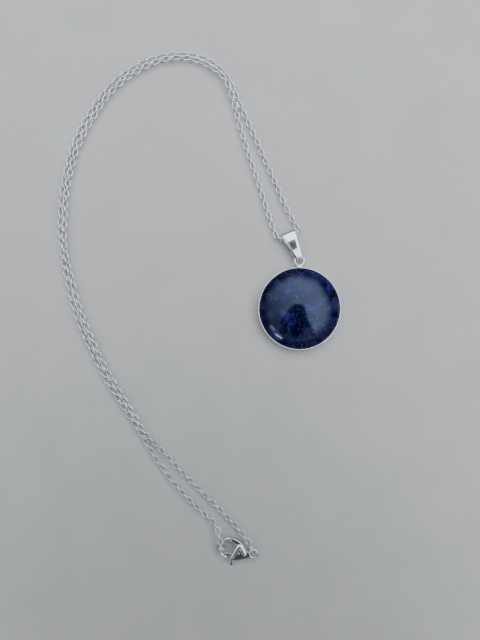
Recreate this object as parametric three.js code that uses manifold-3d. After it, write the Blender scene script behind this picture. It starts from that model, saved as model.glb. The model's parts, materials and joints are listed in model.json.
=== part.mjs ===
// A round pendant necklace lying flat: a domed stone in a steel tray, a fold-over bail, a fine
// cable chain folded double on itself, and a lobster clasp closed on the end ring.
// Millimetres, +Z up. The origin is the centre of the pendant's flat back, on the table.
import * as THREE from 'three';
import { mergeVertices } from 'three/addons/utils/BufferGeometryUtils.js';
import Module from 'manifold-3d';

const wasm = await Module();
wasm.setup();

// ---- pendant -------------------------------------------------------------------------------
const stoneDia = 25.0;
const stoneEdgeHeight = 1.9;
const stoneDomeHeight = 4.3;
const stoneFit = 0.1;        // radial room between the stone and the tray's wall
const trayWall = 0.4;
const trayFloor = 0.6;
const trayHeight = 2.9;
const glueThickness = 0.25;
const glueInset = 0.3;       // the glue stops short of the stone's edge
const layerGap = 0.02;       // between pieces that lie on each other
const loopHole = 2.2;
const loopWire = 0.7;
const loopHeight = 1.3;      // middle of the loop's wire above the table
const loopSide = 0.15;       // the loop sits a little to the right of the tray's middle
const footLength = 0.3;      // solder foot between the loop and the tray
const footWidth = 1.5;
const footThick = 0.63;

// ---- bail ----------------------------------------------------------------------------------
const rollAt = [-3.287, 22.839]; // where the chain runs through the bail's roll
const bailLean = 24;         // degrees that the bail leans to the left of the pendant's loop
const bailLength = 8.45;     // from the loop's centre to the middle of the rolled top
const bailTopWidth = 4.6;
const bailTipWidth = 2.3;
const bailSheet = 0.45;
const bailRoom = 0.35;       // round the chain, inside the roll
const bailTable = 0.2;       // the back leaf's height above the table
const bailFlat = 1.6;        // flat stretch of the front leaf before its crease
const prongWidth = 1.1;
const prongGap = 0.1;        // between the tips of the front and the back prong
const prongBend = 0.5;       // length over which a prong turns towards its leaf
const leafStart = 0.95;      // from the prongs' tips to where the leaves begin
const prongRoom = 0.62;      // between the prongs and the loop's wire
const tipRoom = 0.3;         // between the leaves and the loop's wire
const frontRise = 0.5;       // the front leaf's tip stays this much higher than it has to

// ---- chain ---------------------------------------------------------------------------------
const chainDia = 1.4;        // the round stock that stands for the links
const chainSides = 8;
const chainStep = 6.0;
const bightStep = 0.85;
const chainGap = 0.45;       // between two stretches of one strand
const linkWire = 0.43;
const linkLength = 2.5;
const linkWidth = 1.9;

// ---- clasp and rings -----------------------------------------------------------------------
const endRingDia = 3.5;
const jumpRingDia = 4.0;
const ringWire = 0.5;
const ringRoom = 0.1;        // between a jump ring's wire and the edge it hangs in
const ringTable = 0.02;
const endRingTurn = 167;     // degrees round the hook at which the end ring hangs
const endRingSeat = 0.28;    // from the hook wire's middle to the end ring's centre
const jumpRingLean = 20;     // degrees
const linkRoom = 0.08;       // between an end link and the ring it hangs on
const hookLinkPitch = 20;    // degrees down from the end ring towards the chain
const claspLinkTurn = 133;   // degrees, from +X to where the link points
const claspThick = 2.5;
const claspTable = 0.15;
const hookDia = 7.1;
const hookWire = 1.05;
const hookCentre = [-21.9, -75.45];
const hookFrom = 62;         // degrees: the hook's wire runs from the shoulder round to its tip
const hookTo = 250;
const claspEdge = 0.35;      // rounding of the cheeks' edges
const pinRecess = 0.03;      // the pin's ends lie below the cheeks' faces
const tailDia = 3.4;
const tailWire = 0.85;
const tailAt = [2.118, -0.493]; // from the hook's centre, in hook radii
const pinDia = 0.8;
const pinAt = [0.817, -0.408];  // from the hook's centre, in hook radii
const pinFit = 0.03;
const leverFit = 0.08;
const leverThick = 0.8;
const springWire = 0.26;
const slotFit = 0.1;         // between the lever or the spring and the cheeks

// ---- materials -----------------------------------------------------------------------------
const steel = new THREE.MeshStandardMaterial({ color: 0xc9cbce, roughness: 0.22, metalness: 1 });
const chainSteel = new THREE.MeshStandardMaterial({ color: 0xd2d4d8, roughness: 0.28, metalness: 1 });
const springSteel = new THREE.MeshStandardMaterial({ color: 0x8d9096, roughness: 0.4, metalness: 1 });
const stoneBlue = new THREE.MeshStandardMaterial({ color: 0x1d2748, roughness: 0.12, metalness: 0 });
const resin = new THREE.MeshStandardMaterial({ color: 0xd9d6c8, roughness: 0.5, metalness: 0 });

const necklace = new THREE.Group();

function addPiece(name, geometry, material, parent = necklace) {
  const piece = new THREE.Mesh(geometry, material);
  piece.name = name;
  parent.add(piece);
  return piece;
}

// ---- solids to and from the boolean library -------------------------------------------------
function toSolid(geometry) {
  const bare = geometry.clone();
  bare.deleteAttribute('normal');
  bare.deleteAttribute('uv');
  const merged = mergeVertices(bare, 1e-5);
  return new wasm.Manifold(new wasm.Mesh({
    numProp: 3,
    vertProperties: new Float32Array(merged.attributes.position.array),
    triVerts: new Uint32Array(merged.index.array),
  }));
}

function toGeometry(solid) {
  const mesh = solid.getMesh();
  const geometry = new THREE.BufferGeometry();
  geometry.setAttribute('position', new THREE.BufferAttribute(mesh.vertProperties, 3));
  geometry.setIndex(new THREE.BufferAttribute(mesh.triVerts, 1));
  geometry.computeVertexNormals();
  return geometry;
}

function lathe(profile, segments) {
  const points = profile.map(([r, z]) => new THREE.Vector2(r, z));
  return new THREE.LatheGeometry(points, segments).rotateX(Math.PI / 2);
}

function cylinder(radius, low, high, [x, y], segments = 24) {
  return new THREE.CylinderGeometry(radius, radius, high - low, segments)
    .rotateX(Math.PI / 2)
    .translate(x, y, (low + high) / 2);
}

function plate(outline, low, high, bevel = 0) {
  const shape = outline instanceof THREE.Shape
    ? outline
    : new THREE.Shape(outline.map(([x, y]) => new THREE.Vector2(x, y)));
  return new THREE.ExtrudeGeometry(shape, {
    depth: high - low - 2 * bevel,
    bevelEnabled: bevel > 0,
    bevelThickness: bevel,
    bevelSize: bevel,
    bevelOffset: -bevel,
    bevelSegments: 3,
    curveSegments: 10,
  }).translate(0, 0, low + bevel);
}

// ---- pendant: tray, glue, stone and loop ----------------------------------------------------
const stoneRadius = stoneDia / 2;
const trayInner = stoneRadius + stoneFit;
const trayRadius = trayInner + trayWall;
const glueTop = trayFloor + layerGap + glueThickness;
const stoneBase = glueTop + layerGap;
const pendantSegments = 96;

function trayGeometry() {
  const lip = trayWall / 4;
  return lathe([
    [0, 0], [trayRadius - lip, 0], [trayRadius, lip], [trayRadius, trayHeight - lip],
    [trayRadius - lip, trayHeight], [trayInner + lip, trayHeight], [trayInner, trayHeight - lip],
    [trayInner, trayFloor], [0, trayFloor],
  ], pendantSegments);
}

function stoneGeometry() {
  const rise = stoneDomeHeight;
  const domeRadius = (stoneRadius ** 2 + rise ** 2) / (2 * rise);
  const edge = stoneBase + stoneEdgeHeight;
  const sweep = Math.asin(stoneRadius / domeRadius);
  const profile = [[0, stoneBase], [stoneRadius, stoneBase]];
  const steps = 9;
  for (let i = 0; i < steps; i += 1) {
    const angle = sweep * (1 - i / steps);
    profile.push([
      domeRadius * Math.sin(angle),
      edge + rise - domeRadius * (1 - Math.cos(angle)),
    ]);
  }
  profile.push([0, edge + rise]);
  return lathe(profile, pendantSegments);
}

const loopRadius = (loopHole + loopWire) / 2;
const lean = THREE.MathUtils.degToRad(bailLean);
const footBase = trayRadius + layerGap;
const loopCentre = [loopSide, footBase + footLength + loopHole / 2 + loopWire];
// the chain and the clasp go where the bail's roll goes
const threaded = new THREE.Group();
threaded.position.set(
  loopCentre[0] - bailLength * Math.sin(lean) - rollAt[0],
  loopCentre[1] + bailLength * Math.cos(lean) - rollAt[1],
  0,
);
necklace.add(threaded);

function loopGeometry() {
  const ring = toSolid(new THREE.TorusGeometry(loopRadius, loopWire / 2, 12, 36)
    .translate(...loopCentre, loopHeight));
  const footTop = loopCentre[1] - loopRadius;
  const foot = toSolid(new THREE.BoxGeometry(footWidth, footTop - footBase, footThick)
    .translate(loopSide, (footTop + footBase) / 2, loopHeight));
  return toGeometry(ring.add(foot));
}

addPiece('bezel_tray', trayGeometry(), steel);
addPiece('adhesive_layer', lathe([
  [0, trayFloor + layerGap], [stoneRadius - glueInset, trayFloor + layerGap],
  [stoneRadius - glueInset, glueTop], [0, glueTop],
], pendantSegments), resin);
addPiece('cabochon', stoneGeometry(), stoneBlue);
addPiece('pendant_loop', loopGeometry(), steel);

// ---- bail: a tapered strip folded over the chain, its prongs meeting in the pendant's loop ----
// It is drawn along +Y from the loop's centre, then leaned over.
const prongReach = loopHole / 2 - prongRoom - bailSheet / 2;
const rollInner = chainDia / 2 + bailRoom;
const rollMiddle = rollInner + bailSheet / 2;
const rollHeight = bailTable + bailSheet + rollInner;
const bailTip = prongReach + leafStart;

function stripSection() {
  const half = bailSheet / 2;
  const backHeight = bailTable + half;
  const frontTip = loopHeight + loopWire / 2 + tipRoom + half + frontRise;
  const line = [
    [prongReach, loopHeight - prongGap / 2 - half],
    [prongReach + prongBend, backHeight + prongGap],
    [bailTip, backHeight],
    [bailLength, backHeight],
  ];
  const turns = 12;
  for (let i = 1; i < turns; i += 1) {
    const angle = -Math.PI / 2 + (Math.PI * i) / turns;
    line.push([bailLength + rollMiddle * Math.cos(angle), rollHeight + rollMiddle * Math.sin(angle)]);
  }
  line.push(
    [bailLength, rollHeight + rollMiddle],
    [bailLength - bailFlat, rollHeight + rollMiddle],
    [bailTip, frontTip],
    [prongReach + prongBend, frontTip - prongGap],
    [prongReach, loopHeight + prongGap / 2 + half],
  );
  const outer = [];
  const inner = [];
  line.forEach(([y, z], i) => {
    const before = line[Math.max(i - 1, 0)];
    const after = line[Math.min(i + 1, line.length - 1)];
    const length = Math.hypot(after[0] - before[0], after[1] - before[1]);
    const nx = (after[1] - before[1]) / length;
    const nz = -(after[0] - before[0]) / length;
    outer.push([y + nx * half, z + nz * half]);
    inner.unshift([y - nx * half, z - nz * half]);
  });
  return [...outer, ...inner];
}

function bailGeometry() {
  // the section's first axis is the bail's length, its second the height
  const lengthwise = new THREE.Matrix4().makeBasis(
    new THREE.Vector3(0, 1, 0),
    new THREE.Vector3(0, 0, 1),
    new THREE.Vector3(1, 0, 0),
  );
  const strip = toSolid(plate(stripSection(), -bailTopWidth, bailTopWidth).applyMatrix4(lengthwise));
  const top = bailLength + rollMiddle + bailSheet;
  const above = rollHeight * 3;
  const leaf = toSolid(plate([
    [-bailTipWidth / 2, bailTip], [bailTipWidth / 2, bailTip],
    [bailTopWidth / 2, top], [-bailTopWidth / 2, top],
  ], 0, above));
  const prongs = toSolid(plate([
    [-prongWidth / 2, -prongWidth], [prongWidth / 2, -prongWidth],
    [prongWidth / 2, bailTip + prongBend], [-prongWidth / 2, bailTip + prongBend],
  ], 0, above));
  return toGeometry(strip.intersect(leaf.add(prongs)));
}

const bailGroup = new THREE.Group();
bailGroup.position.set(loopCentre[0], loopCentre[1], 0);
bailGroup.rotation.z = lean;
necklace.add(bailGroup);
addPiece('bail', bailGeometry(), steel, bailGroup);

// ---- chain: two strands side by side, each a run of hand-placed points -------------------------
// Each row is one body of the folded chain: the outer strand and the inner strand, from the bail
// towards the clasp. A row's lists start where the row before it ended.
const flat = 0.95;
const stretches = [
  {
    name: 'front',
    outer: [
      [-1.6, 27.5, flat], [-3.9, 31.8, flat], [-7.7, 40.6, flat], [-12.4, 51.2, flat],
      [-16.4, 60.0, flat], [-18.5, 64.5, flat], [-20.0, 68.0, flat],
    ],
    inner: [
      [-7.9, 25.3, flat], [-8.8, 27.9, flat], [-10.4, 32.5, flat], [-13.9, 43.3, flat],
      [-15.7, 48.4, flat], [-18.0, 55.8, flat], [-19.2, 60.0, 1.0], [-20.3, 64.2, 1.35],
      [-21.25, 67.6, 1.75],
    ],
  },
  {
    name: 'mid_1',
    outer: [
      [-21.3, 71.2, flat], [-23.0, 73.9, flat], [-25.0, 76.2, flat], [-27.6, 78.1, flat],
      [-30.4, 79.5, flat], [-33.6, 80.3, flat], [-36.8, 80.6, flat], [-40.0, 80.5, flat],
      [-43.1, 80.1, flat], [-46.1, 79.2, flat], [-49.1, 78.0, flat], [-53.6, 75.5, flat],
    ],
    inner: [
      [-22.35, 70.75, 2.05], [-23.7, 72.9, 1.9], [-25.8, 74.95, 1.55], [-28.4, 76.8, 1.4],
      [-31.0, 78.0, 1.4], [-33.9, 78.9, 1.5], [-36.8, 79.2, 1.5], [-39.9, 79.1, 1.5],
      [-42.9, 78.65, 1.45], [-45.7, 77.8, 1.4], [-48.6, 76.4, 1.4], [-53.0, 73.95, 1.35],
    ],
  },
  {
    name: 'mid_2',
    outer: [
      [-57.4, 72.6, flat], [-59.7, 70.4, flat], [-61.9, 68.0, flat], [-63.8, 65.4, flat],
      [-65.7, 62.8, flat], [-67.4, 60.0, flat], [-69.0, 57.2, flat], [-70.4, 54.3, flat],
      [-71.5, 51.4, flat], [-72.1, 49.3, flat],
    ],
    inner: [
      [-56.8, 70.95, 1.3], [-59.2, 68.7, 1.3], [-61.2, 66.2, 1.3], [-63.0, 63.5, 1.3],
      [-65.3, 59.9, 1.3], [-67.8, 55.3, 1.3], [-69.4, 52.1, 1.35], [-70.55, 49.0, 1.4],
    ],
  },
  {
    name: 'mid_3',
    outer: [
      [-73.0, 46.3, flat], [-74.2, 41.0, flat], [-75.0, 35.0, flat], [-75.4, 29.0, flat],
      [-75.4, 25.5, flat], [-75.2, 22.6, flat], [-74.85, 19.6, flat], [-74.5, 16.4, flat],
      [-74.05, 13.4, flat], [-73.5, 10.9, flat],
    ],
    inner: [
      [-71.45, 46.0, 1.4], [-72.7, 40.6, 1.4], [-73.5, 34.6, 1.4], [-73.9, 28.8, 1.45],
      [-73.95, 25.4, 1.55], [-73.9, 22.6, 1.8], [-73.7, 19.6, 2.05], [-73.25, 16.6, 1.9],
      [-72.7, 13.8, 1.7], [-72.1, 11.1, 1.55],
    ],
  },
  {
    name: 'mid_4',
    outer: [
      [-72.7, 7.0, flat], [-71.9, 3.6, flat], [-71.0, 0.2, flat], [-69.95, -3.1, flat],
      [-68.7, -6.3, flat], [-65.9, -12.5, flat], [-63.0, -18.4, flat], [-59.8, -24.2, flat],
      [-58.0, -27.0, flat], [-56.3, -29.6, flat],
    ],
    inner: [
      [-71.2, 7.4, 1.45], [-70.4, 4.1, 1.35], [-69.35, 0.9, 1.3], [-68.3, -2.3, 1.3],
      [-67.05, -5.5, 1.3], [-64.35, -11.7, 1.3], [-61.5, -17.6, 1.3], [-58.35, -23.4, 1.3],
      [-56.65, -26.2, 1.3], [-54.95, -28.8, 1.35],
    ],
  },
  {
    name: 'rear',
    outer: [
      [-54.5, -32.3, flat], [-52.7, -35.1, flat], [-50.7, -38.1, flat], [-49.3, -40.3, flat],
      [-46.4, -45.4, flat], [-42.6, -51.0, flat], [-38.5, -56.2, flat], [-33.8, -61.2, flat],
      [-30.3, -64.3, flat], [-28.1, -66.3, flat], [-26.6, -68.0, 1.05], [-25.85, -69.3, 1.25],
      [-25.3, -70.8, 1.9], [-24.8, -72.4, 2.7],
    ],
    inner: [
      [-53.15, -31.7, 1.45], [-51.4, -34.5, 1.65], [-49.7, -37.2, 1.95], [-48.2, -39.4, 1.8],
      [-46.4, -41.3, 1.4], [-44.2, -43.7, 1.05], [-39.8, -48.6, flat], [-34.0, -54.5, flat],
      [-28.8, -59.6, flat], [-24.2, -64.2, flat], [-21.9, -66.5, flat], [-19.8, -68.75, 1.05],
      [-18.35, -70.35, 1.35], [-17.0, -71.85, 1.8],
    ],
  },
];
// through the bail, from the inner strand's first point to the outer strand's
const bight = [
  [-7.9, 25.3, flat], [-7.5, 23.95, 1.0], [-7.0, 22.7, 1.3], [-6.2, 21.95, 1.6],
  [-5.2, 21.99, 1.7], [-3.29, 22.84, 1.7], [-1.38, 23.69, 1.7], [-0.6, 24.15, 1.6],
  [-0.2, 24.85, 1.35], [-0.55, 25.8, 1.05], [-1.6, 27.5, flat],
];

function curveThrough(points) {
  return new THREE.CatmullRomCurve3(points.map((p) => new THREE.Vector3(...p)), false, 'centripetal');
}

function stretchOf(curve, from, to, step) {
  const total = curve.getLength();
  const count = Math.max(2, Math.round((to - from) / step));
  const points = [];
  for (let i = 0; i <= count; i += 1) {
    points.push(curve.getPointAt((from + ((to - from) * i) / count) / total));
  }
  return { path: new THREE.CatmullRomCurve3(points, false, 'centripetal'), count };
}

function tubeGeometry(curve, from, to, step) {
  const { path, count } = stretchOf(curve, from, to, step);
  const section = new THREE.Shape();
  for (let i = 0; i < chainSides; i += 1) {
    const angle = (2 * Math.PI * (i + 0.5)) / chainSides;
    const x = (chainDia / 2) * Math.cos(angle);
    const y = (chainDia / 2) * Math.sin(angle);
    if (i === 0) section.moveTo(x, y);
    else section.lineTo(x, y);
  }
  return new THREE.ExtrudeGeometry(section, { steps: count, extrudePath: path, bevelEnabled: false });
}

function addStrand(side) {
  const points = stretches.flatMap((stretch) => stretch[side]);
  const curve = curveThrough(points);
  const fine = 40;
  curve.arcLengthDivisions = (points.length - 1) * fine;
  const lengths = curve.getLengths();
  let last = -1;
  stretches.forEach((stretch, i) => {
    const from = i === 0 ? chainGap / 2 : lengths[last * fine] + chainGap / 2;
    last += stretch[side].length;
    const to = lengths[last * fine] - (i === stretches.length - 1 ? 0 : chainGap / 2);
    const tube = tubeGeometry(curve, from, to, chainStep);
    addPiece(`chain_${stretch.name}_${side}`, tube, chainSteel, threaded);
  });
}

addStrand('outer');
addStrand('inner');
const bightCurve = curveThrough(bight);
const bightLength = bightCurve.getLength();
addPiece(
  'chain_bight',
  tubeGeometry(bightCurve, chainGap / 2, bightLength - chainGap / 2, bightStep),
  chainSteel,
  threaded,
);

// ---- the two end links and the two jump rings -------------------------------------------------
// a round wire bent into a flat oval: two half circles and two straight sides
function linkGeometry() {
  const half = (linkLength - linkWidth) / 2;
  const radius = (linkWidth - linkWire) / 2;
  const link = new THREE.TorusGeometry(radius, linkWire / 2, 8, 28);
  const place = link.attributes.position;
  for (let i = 0; i < place.count; i += 1) {
    const x = place.getX(i);
    if (Math.abs(x) > 1e-4) place.setX(i, x + Math.sign(x) * half);
  }
  return link;
}

const endRingRadius = (endRingDia - ringWire) / 2;
const jumpRingRadius = (jumpRingDia - ringWire) / 2;
const endRingHeight = endRingDia / 2 + ringTable;
const jumpRingHeight = jumpRingDia / 2 + ringTable;
const hookHeight = claspTable + claspThick / 2;
const hookRadius = (hookDia - hookWire) / 2;
const endRingAngle = THREE.MathUtils.degToRad(endRingTurn);
const endRingAt = [
  hookCentre[0] + (hookRadius - endRingSeat) * Math.cos(endRingAngle),
  hookCentre[1] + (hookRadius - endRingSeat) * Math.sin(endRingAngle),
];
const [tailCentre, pinCentre] = onClasp([tailAt, pinAt]);
const jumpRingTurn = THREE.MathUtils.degToRad(jumpRingLean);
// the jump ring's wire passes through the tail's hole close to its upper edge
const jumpRingSeat = tailDia / 2 - tailWire - ringWire / 2 - ringRoom;
const jumpRingReach = Math.sqrt(jumpRingRadius ** 2 - (jumpRingHeight - hookHeight) ** 2);
const jumpRingAt = [
  tailCentre[0] - jumpRingReach * Math.sin(jumpRingTurn),
  tailCentre[1] + jumpRingSeat + jumpRingReach * Math.cos(jumpRingTurn),
];

function addRing(name, radius, [x, y], height, spin) {
  const ring = addPiece(name, new THREE.TorusGeometry(radius, ringWire / 2, 10, 36), steel, threaded);
  ring.rotation.set(Math.PI / 2, 0, spin, 'ZYX');
  ring.position.set(x, y, height);
}

addRing('end_ring', endRingRadius, endRingAt, endRingHeight, 0);
addRing('jump_ring', jumpRingRadius, jumpRingAt, jumpRingHeight, Math.PI / 2 + jumpRingTurn);

// a link threaded on a ring's wire: reach is from that wire's middle to the link's middle
const linkReach = (linkLength - linkWire) / 2 - (ringWire + linkWire) / 2 - linkRoom;
const hookLink = addPiece('end_link_hook_side', linkGeometry(), chainSteel, threaded);
const pitch = THREE.MathUtils.degToRad(hookLinkPitch);
hookLink.rotation.set(Math.PI / 2, pitch, Math.PI / 2, 'ZYX');
hookLink.position.set(
  endRingAt[0],
  endRingAt[1] + linkReach * Math.cos(pitch),
  endRingHeight + endRingRadius - linkReach * Math.sin(pitch),
);
const claspLink = addPiece('end_link_clasp_side', linkGeometry(), chainSteel, threaded);
const turn = THREE.MathUtils.degToRad(claspLinkTurn);
claspLink.rotation.z = turn;
claspLink.position.set(
  jumpRingAt[0] - jumpRingRadius * Math.sin(jumpRingTurn) + linkReach * Math.cos(turn),
  jumpRingAt[1] + jumpRingRadius * Math.cos(jumpRingTurn) + linkReach * Math.sin(turn),
  jumpRingHeight,
);

// ---- clasp: hook, cheeks and tail in one casting, lever, pin and spring -----------------------
function arcWire([x, y], radius, wire, fromDeg, toDeg, height) {
  const points = [];
  const steps = 28;
  for (let i = 0; i <= steps; i += 1) {
    const angle = THREE.MathUtils.degToRad(fromDeg + ((toDeg - fromDeg) * i) / steps);
    points.push(new THREE.Vector3(x + radius * Math.cos(angle), y + radius * Math.sin(angle), height));
  }
  const section = new THREE.Shape();
  const sides = 12;
  for (let i = 0; i < sides; i += 1) {
    const angle = (2 * Math.PI * i) / sides;
    if (i === 0) section.moveTo(wire / 2, 0);
    else section.lineTo((wire / 2) * Math.cos(angle), (wire / 2) * Math.sin(angle));
  }
  return new THREE.ExtrudeGeometry(section, {
    steps, extrudePath: new THREE.CatmullRomCurve3(points), bevelEnabled: false,
  });
}

const slotHeight = leverThick + springWire + 3 * slotFit;
const slotLow = hookHeight - slotHeight / 2;
const leverLow = slotLow + slotFit;
const springHeight = leverLow + leverThick + slotFit + springWire / 2;

// the clasp's outlines are drawn in hook radii from the hook's centre, and grow with the hook
function onClasp(points) {
  return points.map(([x, y]) => [hookCentre[0] + (x * hookDia) / 2, hookCentre[1] + (y * hookDia) / 2]);
}

// cheeks, seen from above: shoulder at the hook, down the spine to the tail, back along the gate side
const cheekOutline = onClasp([
  [0.08, 0.99], [0.48, 0.87], [0.93, 0.61], [1.30, 0.21], [1.58, -0.21], [1.80, -0.35],
  [1.83, -0.75], [1.55, -0.86], [1.04, -1.00], [0.48, -1.03], [0.14, -0.94], [0.20, -0.69],
  [0.45, -0.30], [0.65, 0.15], [0.48, 0.49], [0.08, 0.69],
]);
const slotOutline = onClasp([
  [-0.20, -0.21], [0.45, 0.04], [1.01, -0.04], [1.27, -0.44], [1.18, -0.77], [0.70, -1.25],
  [-0.31, -1.28],
]);
const leverOutline = onClasp([
  [0.99, -0.25], [1.06, -0.46], [0.96, -0.63], [0.42, -0.77], [0.27, -0.89], [0.25, -1.51],
  [0.07, -1.55], [0.04, -0.86], [-0.03, -0.68], [-0.25, -0.61], [-0.46, -0.46], [-0.38, -0.35],
  [-0.08, -0.44], [0.42, -0.37], [0.76, -0.18],
]);

function boreSolid(fit) {
  return toSolid(cylinder(pinDia / 2 + fit, -claspThick, 2 * claspThick, pinCentre));
}

function claspBodyGeometry() {
  let body = toSolid(plate(cheekOutline, claspTable, claspTable + claspThick, claspEdge));
  body = body.add(toSolid(arcWire(hookCentre, hookRadius, hookWire, hookFrom, hookTo, hookHeight)));
  const tail = new THREE.TorusGeometry((tailDia - tailWire) / 2, tailWire / 2, 12, 32)
    .translate(tailCentre[0], tailCentre[1], hookHeight);
  body = body.add(toSolid(tail));
  body = body.subtract(toSolid(plate(slotOutline, slotLow, slotLow + slotHeight)));
  return toGeometry(body.subtract(boreSolid(pinFit)));
}

function leverGeometry() {
  const lever = toSolid(plate(leverOutline, leverLow, leverLow + leverThick));
  return toGeometry(lever.subtract(boreSolid(leverFit)));
}

function pinGeometry() {
  const low = claspTable + pinRecess;
  return cylinder(pinDia / 2, low, claspTable + claspThick - pinRecess, pinCentre);
}

function springGeometry() {
  const radius = pinDia / 2 + slotFit + springWire / 2;
  return new THREE.TorusGeometry(radius, springWire / 2, 8, 24).translate(...pinCentre, springHeight);
}

addPiece('clasp_body', claspBodyGeometry(), steel, threaded);
addPiece('clasp_lever', leverGeometry(), steel, threaded);
addPiece('clasp_pin', pinGeometry(), steel, threaded);
addPiece('clasp_spring', springGeometry(), springSteel, threaded);

export default necklace;
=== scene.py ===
"""A pendant necklace lying flat: domed blue stone, fold-over bail, fine cable chain, lobster clasp."""
import json
import math
import random

import bmesh
import bpy
from mathutils import Matrix, Vector


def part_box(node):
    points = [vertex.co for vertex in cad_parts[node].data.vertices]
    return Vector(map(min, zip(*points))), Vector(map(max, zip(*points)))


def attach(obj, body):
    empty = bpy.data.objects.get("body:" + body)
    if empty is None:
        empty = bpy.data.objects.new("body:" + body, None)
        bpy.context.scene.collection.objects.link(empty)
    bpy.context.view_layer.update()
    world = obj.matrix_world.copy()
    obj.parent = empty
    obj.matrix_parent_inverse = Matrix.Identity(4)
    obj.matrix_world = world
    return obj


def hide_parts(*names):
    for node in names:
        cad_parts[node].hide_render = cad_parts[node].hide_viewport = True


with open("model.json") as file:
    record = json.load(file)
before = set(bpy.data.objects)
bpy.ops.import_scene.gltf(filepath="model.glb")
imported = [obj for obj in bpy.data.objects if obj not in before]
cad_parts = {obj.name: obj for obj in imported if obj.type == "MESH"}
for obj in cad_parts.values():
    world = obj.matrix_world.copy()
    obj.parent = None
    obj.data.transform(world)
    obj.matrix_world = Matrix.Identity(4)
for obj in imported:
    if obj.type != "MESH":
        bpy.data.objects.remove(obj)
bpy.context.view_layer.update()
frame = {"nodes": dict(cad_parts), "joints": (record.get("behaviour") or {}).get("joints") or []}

MM = 0.001
ROUNDING_STEPS = 3
joints = {joint["name"]: joint for joint in frame["joints"]}


# ---- camera ---------------------------------------------------------------------------------
def place_camera():
    """Straight above the necklace, near enough for the flat pieces to show a little of their sides."""
    data = bpy.data.cameras.new("overhead")
    data.lens = 27.4
    data.sensor_width = 36.0
    data.clip_start = 0.005
    camera = bpy.data.objects.new("overhead", data)
    camera.location = (-0.0186, -0.0035, 0.155)
    bpy.context.collection.objects.link(camera)
    bpy.context.scene.camera = camera


place_camera()

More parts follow.
